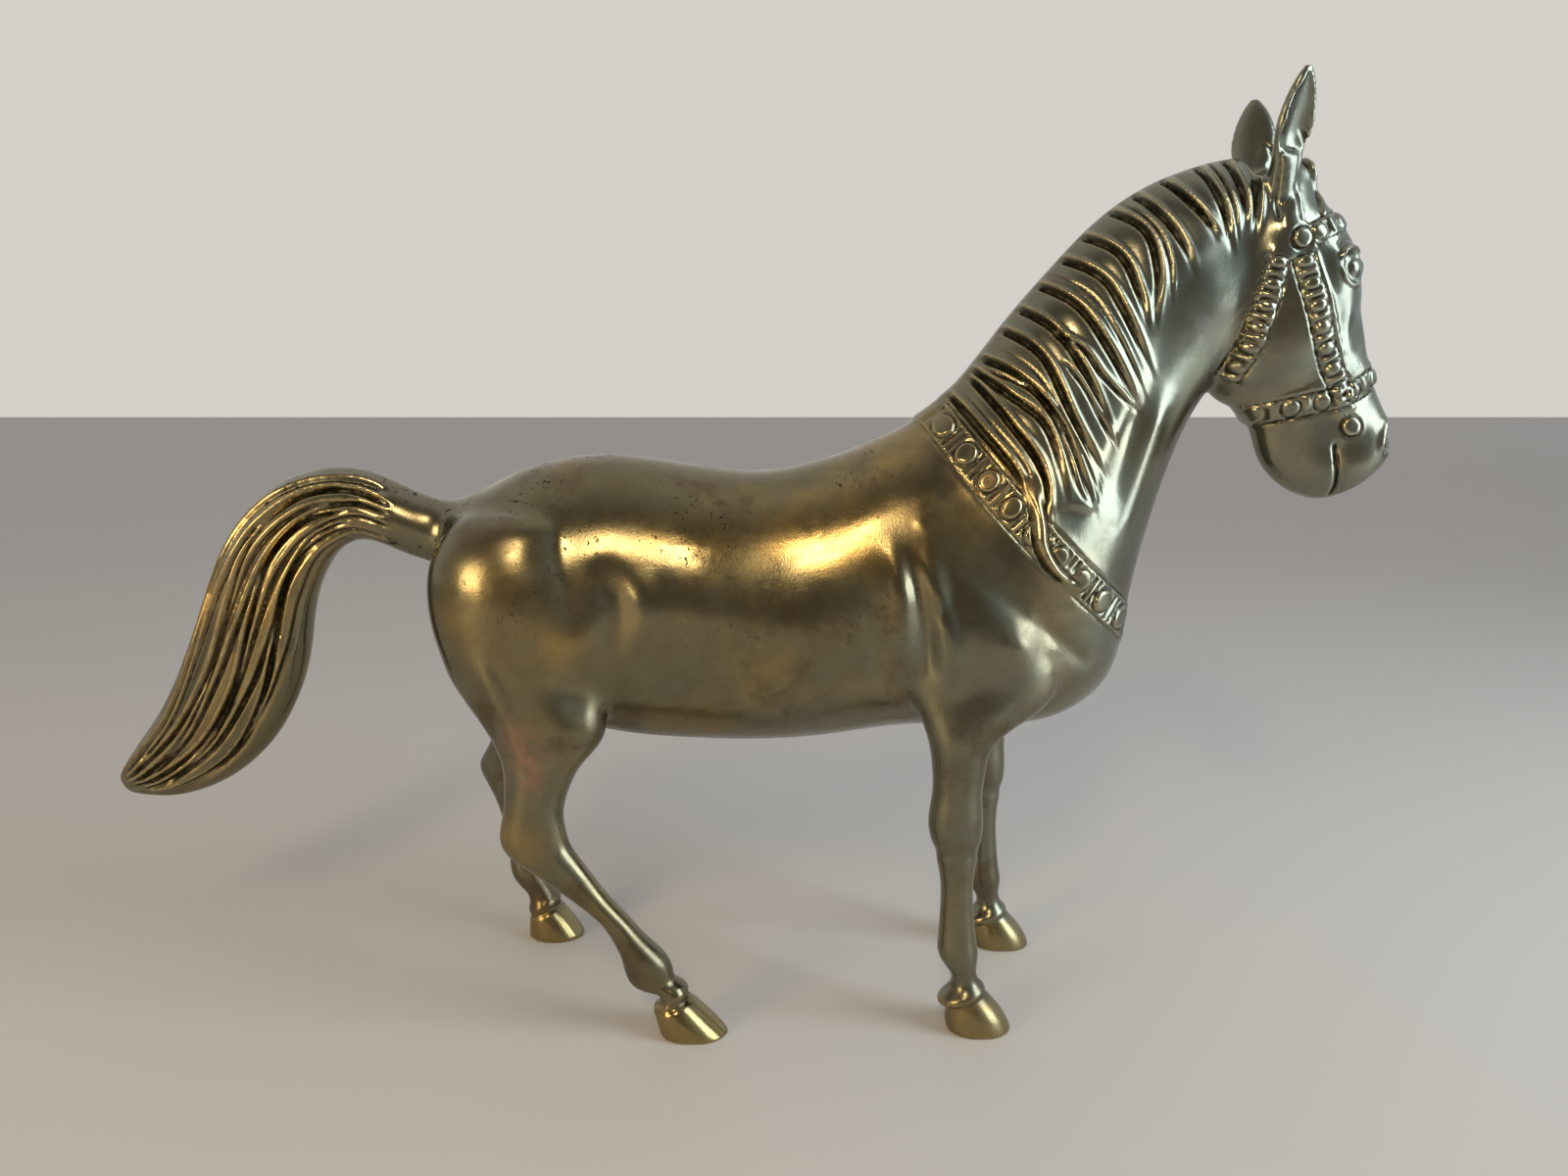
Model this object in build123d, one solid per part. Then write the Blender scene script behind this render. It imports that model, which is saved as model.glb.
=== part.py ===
from build123d import *
import math
import os

# Hollow cast brass horse, standing square, head to +X, up +Z, its hooves on Z = 0.
# Side-view places are (x, z) pairs in mm, with x measured from the girth line.

# ---------------------------------------------------------------- driving sizes
GIRTH_X = 15.5              # girth line, ahead of the middle of the overall length
WALL = 3.0                  # wall of the hollow castings
BRAZE = 0.4                 # brazing metal between two castings
RIB_POINTS = 12             # points round one section of a form

WITHERS_Z = 198.5
BACK_Z = 182.8
CROUP_Z = 188.0
BELLY_Z = 91.5
POLL_Z = 281.5
EAR_TIP_Z = 305.0
BARREL_HALF_WIDTH = 37.0
CHEST_HALF_WIDTH = 35.0
NECK_HALF_WIDTH = 20.0
CHEEK_HALF_WIDTH = 16.5
MUZZLE_HALF_WIDTH = 10.8
TAIL_HALF_WIDTH = 12.5

HIND_TRACK = 33.0           # median plane to the middle of the right hind hoof
HIND_LEFT_TRACK = 37.0      # the left hind leg stands back and a little wider
FORE_TRACK = 30.0           # median plane to the middle of a fore hoof
FORE_STRIDE = 18.5          # how far the left fore hoof stands ahead of the right
HIND_SEAM_Z = 84.5          # brazed seam at the top of a hind leg casting
FORE_SEAM_Z = 101.0         # brazed seam at the top of a foreleg casting
HOOF_HALF_WIDTH = 9.0
CANNON_HALF_WIDTH = 5.0
TENON_DIAMETER = 9.0
TENON_LENGTH = 12.0
TENON_CLEARANCE = 0.25      # round a tenon and past its end

TAIL_JOINT_X = -127.0       # brazed joint between the dock and the tail casting
TAIL_TENON_Z = 165.0
NECK_JOINT_TOP = (43.0, 199.5)      # the neck joint is a shallow arc in side view
NECK_JOINT_FOOT = (110.0, 129.0)
NECK_JOINT_SAG = 4.0
COLLAR_WIDTH = 11.0
COLLAR_PLATES = 9
PLATE_GAP = 4.0             # between two plates of the collar
PLATE_EDGE = 1.2            # band left beside a plate
PLATE_CORNER = 2.4
STRAP_WIDTH = 6.5
STRAP_RISE = 0.9            # harness straps stand this proud of the castings
PLATE_RISE = 1.6            # and their plates and rosettes this much
CHEEK_STRAP = ((161.5, 250.0), (180.0, 202.0))
THROATLATCH = ((154.5, 252.5), (145.0, 212.0))
NOSEBAND = ((150.0, 200.0), (196.0, 217.0))
BROWBAND = ((163.0, 256.5), (182.0, 264.5))
CROWNPIECE = ((157.5, 258.0), (153.5, 285.0))
BROW_ROSETTE = (160.0, 255.4)
BIT_ROSETTE = (182.0, 197.6)
ROSETTE_RADIUS = 3.4

EYE = (179.7, 247.3)
EYE_HALF_SPACING = 8.0
EYE_RADIUS = 3.4
NOSTRIL = (198.5, 193.4)
NOSTRIL_TURN = 65.0
NOSTRIL_LENGTH = 7.0
NOSTRIL_WIDTH = 3.0
MOUTH = ((178.2, 193.3), (180.0, 170.0))
MOUTH_WIDTH = 1.2
FACE_CUT = 1.4              # depth of nostril and mouth
MANE_RISE = 1.3
CREST_DEPTH = 4.0           # smooth roots of the mane, down from the crest
GROOVE_WIDTH = 1.1          # grooves between the locks of the mane
TAIL_GROOVES = 4
TAIL_GROOVE_DEPTH = 1.2
TAIL_GROOVE_END = -3        # station of the tail up to which its grooves run
COLLAR_STATION = 10         # station of the trunk at the top of the collar

EAR_ROOT = (154.4, 9.0, 267.0)
EAR_TIP = (156.8, 20.0, EAR_TIP_Z)
EAR_HALF_WIDTH = 7.4
EAR_TURN = 64.0             # opening of the ear, degrees from straight ahead
EAR_LIP = 1.6               # thickness left round the hollow of the ear

BIG = 1000.0


# ---------------------------------------------------------------- sections and lofts
def rib(upper, lower, half_width, egg=0.0, y=0.0, inset=0.0):
    """Closed section through two side-view points. A positive egg is broader near the upper one."""
    length = math.hypot(lower[0] - upper[0], lower[1] - upper[1])
    along_x = (lower[0] - upper[0]) / length
    along_z = (lower[1] - upper[1]) / length
    points = []
    for index in range(RIB_POINTS):
        turn = 2 * math.pi * index / RIB_POINTS
        reach = inset + (length - 2 * inset) * (1 - math.cos(turn)) / 2
        side = (half_width - inset) * math.sin(turn) * (1 + egg * math.cos(turn))
        points.append(Vector(GIRTH_X + upper[0] + along_x * reach, y + side, upper[1] + along_z * reach))
    even = [index / RIB_POINTS for index in range(RIB_POINTS + 1)]
    return Wire([Edge.make_spline(points, periodic=True, parameters=even)])


def form(stations, side=1, inset=0.0):
    """Solid through stations of (upper point, lower point, half width, egg, y)."""
    return Solid.make_loft([rib(a, b, w, egg, side * y, inset) for a, b, w, egg, y in stations])


def slab(axis, low, high):
    """Block as wide as the model, between two values of one axis."""
    size = [BIG, BIG, BIG]
    place = [0.0, 0.0, 0.0]
    size[axis] = high - low
    place[axis] = (high + low) / 2
    return Pos(*place) * Box(*size)


# ---------------------------------------------------------------- trunk, neck and head
TRUNK = [
    ((-111.5, 169), (-110.5, 152), 6, 0, 0),
    ((-110.5, 173.5), (-106, 134), 15, 0, 0),
    ((-103, 176), (-99, 119), 25, 0, 0),
    ((-90, 182), (-84, 105), 32, 0, 0),
    ((-64, CROUP_Z), (-60, 95), 36, 0, 0),
    ((-36, 185.7), (-34, 92), 36, 0, 0),
    ((-10, BACK_Z), (-10, BELLY_Z), BARREL_HALF_WIDTH, 0, 0),
    ((14, 187), (18, 93.5), 36.5, 0, 0),
    ((30, 193), (42, 96.5), 35.5, 0, 0),
    ((41, WITHERS_Z), (68, 96.5), CHEST_HALF_WIDTH, -0.05, 0),
    ((49, 204), (92.8, 99.8), 33, -0.1, 0),
    ((56.6, 210.2), (109.2, 113), 30.5, -0.1, 0),
    ((64.8, 220.2), (114, 131), 27, -0.1, 0),
    ((74.8, 233.2), (117, 148), 23.5, -0.1, 0),
    ((86.8, 247.1), (122, 168), NECK_HALF_WIDTH, -0.1, 0),
    ((100.7, 261.5), (129, 190), 17.5, -0.1, 0),
    ((117.4, 272.8), (139, 209), 16, -0.05, 0),
    ((133.2, 278.7), (152, 222), 14.5, 0, 0),
    ((146, POLL_Z), (163, 240), 12.5, 0, 0),
]

HEAD = [
    ((158, POLL_Z - 0.5), (142, 268), 9.5, 0, 0),
    ((168, 273.5), (137.5, 252), 14, 0, 0),
    ((176.5, 262.5), (136, 235), 16, 0.05, 0),
    ((183.0, 251), (136.5, 221), CHEEK_HALF_WIDTH, 0.1, 0),
    ((185.6, 239), (138.5, 211.5), 16, 0.05, 0),
    ((187.7, 229.5), (143, 206), 14.5, 0, 0),
    ((189.8, 221), (149.5, 202.6), 13, 0, 0),
    ((192.3, 213.5), (153.6, 198), 11.8, 0, 0),
    ((195.8, 206), (156, 191.5), 11, 0, 0),
    ((199.2, 199.5), (158.8, 185), MUZZLE_HALF_WIDTH, 0, 0),
    ((200.5, 194), (164.2, 179), MUZZLE_HALF_WIDTH, 0, 0),
    ((199.6, 189), (170.8, 175), 10, 0, 0),
    ((196.2, 184.3), (177.5, 173.4), 8, 0, 0),
    ((191, 180.3), (182.5, 175.2), 4.5, 0, 0),
]

TAIL = [
    ((-231.2, 76), (-227, 70.6), 2.0, 0, 0),
    ((-229.8, 79.5), (-218, 69.8), 5, 0, 0),
    ((-226, 85.2), (-206.5, 71), 7.5, 0, 0),
    ((-220.5, 92.5), (-194.2, 75.7), 9.3, 0, 0),
    ((-213.7, 102), (-183.8, 82.9), 10.5, 0, 0),
    ((-207.7, 113), (-175.5, 91.7), 11.5, 0, 0),
    ((-202.2, 125.3), (-169.6, 101), 12, 0, 0),
    ((-197.2, 137), (-165.2, 110.7), 12.3, 0, 0),
    ((-192.3, 149), (-162.3, 120.8), TAIL_HALF_WIDTH, 0, 0),
    ((-186.5, 160.8), (-160.8, 130), TAIL_HALF_WIDTH, 0, 0),
    ((-179.2, 169.9), (-159.2, 138), TAIL_HALF_WIDTH, 0, 0),
    ((-170, 177.8), (-156.5, 146), 12.3, 0, 0),
    ((-160.2, 182), (-152.8, 152.5), 12, 0, 0),
    ((-150.3, 184), (-148.2, 157.3), 11.5, 0, 0),
    ((-141.5, 183.5), (-141.5, 159.7), 11, 0, 0),
    ((-132, 180.3), (-131.5, 157), 10.5, 0, 0),
    ((-120.5, 175), (-118, 151), 10, 0, 0),
    ((-113, 173.2), (-112, 149), 9.5, 0, 0),
    ((-104, 175), (-104, 150), 8, 0, 0),
]

HAUNCH = [
    ((-100, 171), (-70, 171), 8, 0, 17),
    ((-110.3, 162), (-61.5, 161), 14.5, 0, 21.5),
    ((-113.8, 150.5), (-56, 149), 15.5, 0, 23.5),
    ((-113.5, 139.5), (-54, 137), 15.3, 0, 24.5),
    ((-111, 128.5), (-56, 125), 14.3, 0, 25.5),
]
HIND_RIGHT = [
    ((-105.8, 118), (-57, 113), 13, 0, 27),
    ((-99.3, 108.5), (-57, 102), 11.8, 0, 28.5),
    ((-93.3, 99.5), (-60.5, 95.5), 10.4, 0, 30),
    ((-89.9, 91.5), (-65, 90.5), 9.2, 0, 31.5),
    ((-89.3, 84.5), (-68.2, 84.5), 8.4, 0, 32),
    ((-90.1, 75), (-70.6, 76), 7.6, 0, 32.5),
    ((-91.2, 66.8), (-70.1, 70.5), 6.9, 0, HIND_TRACK),
    ((-88.8, 61.5), (-69, 65.5), 6.5, 0, HIND_TRACK),
    ((-82.5, 56.5), (-66.8, 61.5), 6, 0, HIND_TRACK),
    ((-73, 49.5), (-62.3, 55), 5.3, 0, HIND_TRACK),
    ((-63.8, 42.3), (-55.5, 45.7), CANNON_HALF_WIDTH, 0, HIND_TRACK),
    ((-59, 37.5), (-50, 39.5), CANNON_HALF_WIDTH, 0, HIND_TRACK),
    ((-55.2, 31), (-44.5, 33), 5.4, 0, HIND_TRACK),
    ((-53, 25.5), (-38.6, 27), 6.2, 0, HIND_TRACK),
    ((-51.6, 20), (-36.3, 22), 5.9, 0, HIND_TRACK),
    ((-47.5, 15.6), (-35.4, 18.8), 5.3, 0, HIND_TRACK),
    ((-44, 8.5), (-31.3, 11), 5.8, 0, HIND_TRACK),
]
HIND_RIGHT_HOOF = [
    ((-43.4, 9.5), (-32, 13.8), 6.8, 0, HIND_TRACK),
    ((-42.4, 6), (-25.6, 8.0), 8.3, 0, HIND_TRACK),
    ((-41, 0), (-18.2, 0), HOOF_HALF_WIDTH, 0, HIND_TRACK),
]
HIND_LEFT = [
    ((-105.8, 118), (-60, 112), 13, 0, 27),
    ((-103.5, 106.5), (-64, 101.5), 11.8, 0, 28.5),
    ((-104.5, 96), (-72, 93.5), 10.4, 0, 30),
    ((-107, 87.5), (-81, 88.5), 9.2, 0, 31.5),
    ((-110, 80.5), (-87.5, 83), 8.2, 0, 32.5),
    ((-113.3, 74.5), (-93, 78), 7.6, 0, 34),
    ((-115.4, 70), (-96.3, 72.5), 6.9, 0, 35),
    ((-114.4, 65.5), (-98, 66.5), 6.5, 0, 35.5),
    ((-112, 60), (-98.7, 60), 6, 0, 36),
    ((-109.2, 52), (-98, 52), 5.3, 0, 36.6),
    ((-107.2, 42.5), (-97, 42.5), CANNON_HALF_WIDTH, 0, 37.2),
    ((-106.2, 35), (-95.8, 35), CANNON_HALF_WIDTH, 0, 37.6),
    ((-106, 29.5), (-94.3, 30), 5.6, 0, HIND_LEFT_TRACK),
    ((-105, 24.5), (-92.7, 25.5), 6.2, 0, HIND_LEFT_TRACK),
    ((-102, 20), (-91, 21.5), 5.6, 0, HIND_LEFT_TRACK),
    ((-99, 15.5), (-89, 18), 5.3, 0, HIND_LEFT_TRACK),
    ((-98.6, 8), (-87.5, 11), 5.8, 0, HIND_LEFT_TRACK),
]
HIND_LEFT_HOOF = [
    ((-99, 9.5), (-88, 14), 7, 0, HIND_LEFT_TRACK),
    ((-99.2, 5.5), (-82.5, 7.5), 8.3, 0, HIND_LEFT_TRACK),
    ((-99.5, 0), (-77.8, 0), HOOF_HALF_WIDTH, 0, HIND_LEFT_TRACK),
]
FORE = [
    ((38, 166), (60, 163), 8, 0, 18),
    ((34.5, 152), (74, 150), 14, 0, 21),
    ((34, 137), (84, 135), 14.5, 0, 22.5),
    ((36, 122), (88.5, 121), 13.3, 0, 24),
    ((40.5, 111), (83, 109), 10.8, 0, 27),
    ((44, 104.5), (73, 102.5), 9.4, 0, 29),
    ((46.3, 97.5), (66.5, 96.5), 8.6, 0, FORE_TRACK),
    ((47.5, 89), (64.6, 89), 7.6, 0, FORE_TRACK),
    ((47.6, 81), (63.8, 81), 7, 0, FORE_TRACK),
    ((46.8, 75), (64.1, 75), 7.2, 0, FORE_TRACK),
    ((46.8, 69), (64.2, 69), 7.1, 0, FORE_TRACK),
    ((48.5, 62.5), (63.3, 62.5), 6.2, 0, FORE_TRACK),
    ((50.8, 52), (61.8, 52), 5.3, 0, FORE_TRACK),
    ((51, 40), (62.2, 40), CANNON_HALF_WIDTH, 0, FORE_TRACK),
    ((50.5, 31), (63.2, 31), 5.6, 0, FORE_TRACK),
    ((50.8, 26), (63.9, 26.5), 6.1, 0, FORE_TRACK),
    ((54.2, 20.5), (63.5, 21.5), 5.2, 0, FORE_TRACK),
    ((54.6, 15), (64.5, 17), 5.4, 0, FORE_TRACK),
    ((54.6, 8), (65.8, 10.5), 5.8, 0, FORE_TRACK),
]
FORE_HOOF = [
    ((54, 9), (66, 13.2), 6.8, 0, FORE_TRACK),
    ((53.4, 5), (71.5, 7.5), 8.3, 0, FORE_TRACK),
    ((53.8, 0), (75.5, 0), HOOF_HALF_WIDTH, 0, FORE_TRACK),
]


def stride(stations, shift):
    """Stations moved ahead by the stride, in full below the seam and fading out up to the shoulder."""
    moved = []
    for (ax, az), (bx, bz), w, egg, y in stations:
        share = min(1.0, max(0.0, (137 - az) / (137 - FORE_SEAM_Z)))
        share = share * share * (3 - 2 * share)
        moved.append(((ax + shift * share, az), (bx + shift * share, bz), w, egg, y))
    return moved


# ---------------------------------------------------------------- ears
EAR_STATIONS = [
    # share of the height, share of the width, half depth
    (0.0, 0.55, 4.5),
    (0.2, 0.7, 4.2),
    (0.4, 0.93, 3.6),
    (0.55, 1.0, 3.1),
    (0.72, 0.88, 2.6),
    (0.87, 0.6, 2.0),
    (0.96, 0.32, 1.3),
    (1.0, 0.14, 0.8),
]


def ear(side):
    """Leaf-shaped blade with a hollow towards its opening."""
    root = Vector(GIRTH_X + EAR_ROOT[0], side * EAR_ROOT[1], EAR_ROOT[2])
    tip = Vector(GIRTH_X + EAR_TIP[0], side * EAR_TIP[1], EAR_TIP[2])
    along = tip - root
    turn = math.radians(EAR_TURN)
    opening = Vector(math.cos(turn), side * math.sin(turn), 0)
    across = along.cross(opening).normalized()
    opening = across.cross(along).normalized()

    def leaf(share, width, depth, shift=0.0):
        middle = root + along * share + opening * shift
        points = []
        for index in range(RIB_POINTS):
            angle = 2 * math.pi * index / RIB_POINTS
            points.append(middle + across * (width * math.sin(angle)) + opening * (depth * math.cos(angle)))
        even = [index / RIB_POINTS for index in range(RIB_POINTS + 1)]
        return Wire([Edge.make_spline(points, periodic=True, parameters=even)])

    blade = []
    hollow = []
    for share, width, depth in EAR_STATIONS:
        blade.append(leaf(share, EAR_HALF_WIDTH * width, depth))
        if share > 0.39:
            inner = max(0.5, EAR_HALF_WIDTH * width - EAR_LIP)
            hollow.append(leaf(share - 0.02, inner, depth, EAR_LIP))
    return Solid.make_loft(blade) - Solid.make_loft(hollow)


# ---------------------------------------------------------------- castings
def middle_at(stations, height):
    """Side-view x and y of the middle of a leg at one height."""
    middles = [((a[0] + b[0]) / 2, (a[1] + b[1]) / 2, y) for a, b, _, _, y in stations]
    for (x1, z1, y1), (x2, z2, y2) in zip(middles, middles[1:]):
        if z1 >= height >= z2:
            share = (z1 - height) / (z1 - z2)
            return x1 + share * (x2 - x1), y1 + share * (y2 - y1)
    raise ValueError("the seam lies off the leg")


def upright_pin(x, y, low, high, radius):
    return Pos(GIRTH_X + x, y, (low + high) / 2) * Cylinder(radius, high - low)


def lengthways_pin(low_x, high_x, z, radius):
    return Pos(GIRTH_X + (low_x + high_x) / 2, 0, z) * (Rot(0, 90, 0) * Cylinder(radius, high_x - low_x))


def leg(stations, hoof, seam, side):
    """Returns the leg casting with its tenon, the brazing ring, the stub on the trunk and its bore."""
    whole = form(stations, side)
    x, y = middle_at(stations, seam)
    radius = TENON_DIAMETER / 2
    top = seam + BRAZE + TENON_LENGTH
    bore = upright_pin(x, side * y, seam, top + TENON_CLEARANCE, radius + TENON_CLEARANCE)
    casting = (whole & slab(2, -BIG / 2, seam)) + form(hoof, side)
    casting = casting + upright_pin(x, side * y, seam - 1, top, radius)
    ring = (whole & slab(2, seam, seam + BRAZE)) - bore
    stub = whole & slab(2, seam + BRAZE, BIG / 2)
    return casting, ring, stub, bore


def neck_joint_arc():
    """Centre and radius of the arc through the neck joint's ends with its sag."""
    (x1, z1), (x2, z2) = NECK_JOINT_TOP, NECK_JOINT_FOOT
    chord = math.hypot(x2 - x1, z2 - z1)
    radius = chord * chord / (8 * NECK_JOINT_SAG) + NECK_JOINT_SAG / 2
    ahead = (radius - NECK_JOINT_SAG) / chord
    centre = ((x1 + x2) / 2 + (z1 - z2) * ahead, (z1 + z2) / 2 + (x2 - x1) * ahead)
    return centre, radius


def collar_drum(back):
    """Everything ahead of a line that lies this far behind the neck joint."""
    (x, z), radius = neck_joint_arc()
    return Pos(GIRTH_X + x, 0, z) * (Rot(90, 0, 0) * Cylinder(radius + back, BIG / 2))


# ---------------------------------------------------------------- relief on the castings
MANE_STRANDS = [
    ((50, 212), (60.5, 198), (72, 183), (77, 168)),
    ((56, 218), (70, 199.5), (79.5, 186), (82, 171)),
    ((54, 221), (70, 208), (82, 197), (88, 174)),
    ((57, 223), (74, 213), (86, 199), (97, 172)),
    ((64, 232), (80, 220.5), (90, 200), (99, 184)),
    ((69, 239), (84, 228.5), (94, 214), (103, 193)),
    ((75, 246), (91, 236), (101, 222), (110, 205)),
    ((82, 254), (98, 245), (105, 235), (114, 216)),
    ((89, 261), (104, 252), (110, 240), (114, 226)),
    ((98, 269), (112, 259), (116, 246), (115.5, 233)),
    ((106, 276), (117, 264), (123, 255), (126, 247)),
    ((115, 281), (125, 269), (131, 261), (134, 254)),
    ((126, 286), (132, 276), (136, 266), (138, 257)),
    ((137, 288), (141, 276), (143, 267), (143, 260)),
    ((145, 288), (147, 276), (147, 266), (146, 257)),
]
FORELOCK_STRANDS = [
    ((157, 290), (165, 279), (168, 270), (167, 263)),
    ((164, 290), (171, 279), (173, 269), (171, 261)),
    ((172, 287), (179, 277), (180, 270), (177, 263)),
]


def through(profile):
    """Side-view profile carried through the model from side to side."""
    return extrude(Pos(GIRTH_X, 0, 0) * Plane.XZ * profile, BIG / 4, both=True)


def raised(stations, rise, shapes):
    """The parts of a form, grown by the rise, that lie within side-view shapes."""
    return form(stations, 1, -rise) & through(Sketch() + shapes)


def engraved(stations, depth, shapes):
    """Cutter that sinks side-view shapes into a form by the depth."""
    return through(Sketch() + shapes) - form(stations, 1, depth)


def strap(start, end, width):
    """Straight band between two side-view places."""
    run = (end[0] - start[0], end[1] - start[1])
    middle = Pos((start[0] + end[0]) / 2, (start[1] + end[1]) / 2)
    return middle * (Rot(0, 0, math.degrees(math.atan2(run[1], run[0]))) * Rectangle(math.hypot(*run), width))


def bridle():
    """Cheek strap, throatlatch, noseband, browband and crownpiece, and the rosettes between them."""
    straps = [strap(*ends, STRAP_WIDTH)
              for ends in (CHEEK_STRAP, THROATLATCH, NOSEBAND, BROWBAND, CROWNPIECE)]
    rosettes = [Pos(*place) * Circle(ROSETTE_RADIUS) for place in (BROW_ROSETTE, BIT_ROSETTE)]
    return [raised(HEAD, STRAP_RISE, straps), raised(HEAD, PLATE_RISE, rosettes)]


def collar():
    """Breast collar along the neck joint, with a row of raised plates on it."""
    (x, z), radius = neck_joint_arc()
    middle = radius - COLLAR_WIDTH / 2
    first = math.atan2(NECK_JOINT_TOP[1] - z, NECK_JOINT_TOP[0] - x) % (2 * math.pi)
    last = math.atan2(NECK_JOINT_FOOT[1] - z, NECK_JOINT_FOOT[0] - x) % (2 * math.pi)
    pitch = (last - first) / COLLAR_PLATES
    plate = Rectangle(COLLAR_WIDTH - 2 * PLATE_EDGE, abs(pitch) * middle - PLATE_GAP)
    plate = chamfer(plate.vertices(), PLATE_CORNER)
    plates = []
    for index in range(COLLAR_PLATES):
        angle = first + (index + 0.5) * pitch
        at = Pos(x + middle * math.cos(angle), z + middle * math.sin(angle))
        plates.append(at * (Rot(0, 0, math.degrees(angle)) * plate))
    band = form(TRUNK, 1, -STRAP_RISE) & (collar_drum(0) - collar_drum(-COLLAR_WIDTH))
    return [band, raised(TRUNK, PLATE_RISE, plates)]


def towards(start, end, distance):
    """Side-view place at a distance from the start on the way to the end."""
    share = distance / math.hypot(end[0] - start[0], end[1] - start[1])
    return start[0] + share * (end[0] - start[0]), start[1] + share * (end[1] - start[1])


def ribbon(one, other):
    """Side-view shape between two smooth lines."""
    one = [Vector(*place) for place in one]
    other = [Vector(*place) for place in other]
    return Face(Wire([
        Edge.make_spline(one),
        Edge.make_line(one[-1], other[-1]),
        Edge.make_spline(other[::-1]),
        Edge.make_line(other[0], one[0]),
    ]))


def locks(strands):
    """Side-view shape of each lock of hair between two strands, with half a groove left either side."""
    shapes = []
    for rear, ahead in zip(strands, strands[1:]):
        pairs = list(zip(rear, ahead))
        shapes.append(ribbon([towards(a, b, GROOVE_WIDTH / 2) for a, b in pairs],
                             [towards(b, a, GROOVE_WIDTH / 2) for a, b in pairs]))
    return shapes


def crest():
    """Side-view shape of the roots of the mane, along the top of the neck."""
    line = [(upper, lower) for upper, lower, *_ in TRUNK[COLLAR_STATION:-1]]
    return ribbon([towards(upper, lower, CREST_DEPTH) for upper, lower in line],
                  [towards(upper, lower, -CREST_DEPTH) for upper, lower in line])


def eye(side):
    """Eyeball standing out of its socket."""
    return Pos(GIRTH_X + EYE[0], side * EYE_HALF_SPACING, EYE[1]) * Sphere(EYE_RADIUS)


def face_cuts():
    """Nostrils and mouth line."""
    nostril = Pos(*NOSTRIL) * (Rot(0, 0, NOSTRIL_TURN) * Ellipse(NOSTRIL_LENGTH / 2, NOSTRIL_WIDTH / 2))
    return engraved(HEAD, FACE_CUT, [nostril, strap(*MOUTH, MOUTH_WIDTH)])


def tail_grooves():
    """Cutter of the flowing grooves, each at its own share of the tail's depth."""
    shapes = []
    for index in range(TAIL_GROOVES):
        share = (index + 1) / (TAIL_GROOVES + 1)
        places = [(towards(upper, lower, share * math.dist(upper, lower)), lower)
                  for upper, lower, *_ in TAIL[1:TAIL_GROOVE_END:3]]
        shapes.append(ribbon([towards(place, lower, -GROOVE_WIDTH / 2) for place, lower in places],
                             [towards(place, lower, GROOVE_WIDTH / 2) for place, lower in places]))
    return engraved(TAIL, TAIL_GROOVE_DEPTH, shapes)


def halves(whole):
    right = whole & slab(1, -BIG / 2, -BRAZE / 2)
    left = whole & slab(1, BRAZE / 2, BIG / 2)
    seam = whole & slab(1, -BRAZE / 2, BRAZE / 2)
    return right, left, seam


def build():
    nodes = {}
    trunk = form(TRUNK)
    cavity = form(TRUNK[2:-1], 1, WALL) + form(HEAD[3:-2], 1, WALL)

    hind_right = leg(HAUNCH + HIND_RIGHT, HIND_RIGHT_HOOF, HIND_SEAM_Z, -1)
    hind_left = leg(HAUNCH + HIND_LEFT, HIND_LEFT_HOOF, HIND_SEAM_Z, 1)
    fore_right = leg(FORE, FORE_HOOF, FORE_SEAM_Z, -1)
    fore_left = leg(stride(FORE, FORE_STRIDE), stride(FORE_HOOF, FORE_STRIDE), FORE_SEAM_Z, 1)

    tail = form(TAIL)
    joint = GIRTH_X + TAIL_JOINT_X
    tail_radius = TENON_DIAMETER / 2
    dock_end = TAIL_JOINT_X + BRAZE + TENON_LENGTH
    tail_bore = lengthways_pin(TAIL_JOINT_X, dock_end + TENON_CLEARANCE, TAIL_TENON_Z,
                               tail_radius + TENON_CLEARANCE)
    tail = tail - tail_grooves()
    tail_pin = lengthways_pin(TAIL_JOINT_X - 1, dock_end, TAIL_TENON_Z, tail_radius)
    nodes["tail"] = (tail & slab(0, -BIG / 2, joint)) + tail_pin
    nodes["tail_joint_braze"] = (tail & slab(0, joint, joint + BRAZE)) - tail_bore
    dock = tail & slab(0, joint + BRAZE, BIG / 2)

    torso = (trunk - collar_drum(BRAZE)) + dock
    right, left, seam = halves(torso)
    for node, half, hind, fore in (("torso_right_shell", right, hind_right, fore_right),
                                   ("torso_left_shell", left, hind_left, fore_left)):
        solid = half + hind[2] + (fore[2] - collar_drum(BRAZE)) - cavity
        nodes[node] = solid - hind[3] - fore[3] - tail_bore
    nodes["torso_seam_braze"] = seam - cavity - tail_bore

    ahead_of_collar = collar_drum(-COLLAR_WIDTH)
    mane = raised(TRUNK, MANE_RISE, [crest()] + locks(MANE_STRANDS)) & ahead_of_collar
    forelock = raised(HEAD, MANE_RISE, locks(FORELOCK_STRANDS))
    neck = (trunk & collar_drum(0)) + form(HEAD) + mane + forelock
    neck = neck + collar() + bridle() + [eye(-1), eye(1)] - face_cuts()
    right, left, seam = halves(neck)
    nodes["neck_right_shell"] = right - cavity + ear(-1)
    nodes["neck_left_shell"] = left - cavity + ear(1)
    nodes["neck_seam_braze"] = seam - cavity
    nodes["neck_joint_braze"] = (trunk & (collar_drum(BRAZE) - collar_drum(0))) - cavity

    for name, parts in (("hind_right", hind_right), ("hind_left", hind_left),
                        ("fore_right", fore_right), ("fore_left", fore_left)):
        nodes[name + "_leg"] = parts[0]
        nodes[name + "_braze"] = parts[1]
    return nodes


os.makedirs("parts", exist_ok=True)
for node, solid in build().items():
    solid.label = node
    export_step(solid, "parts/" + node + ".step")
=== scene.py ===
import math

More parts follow.
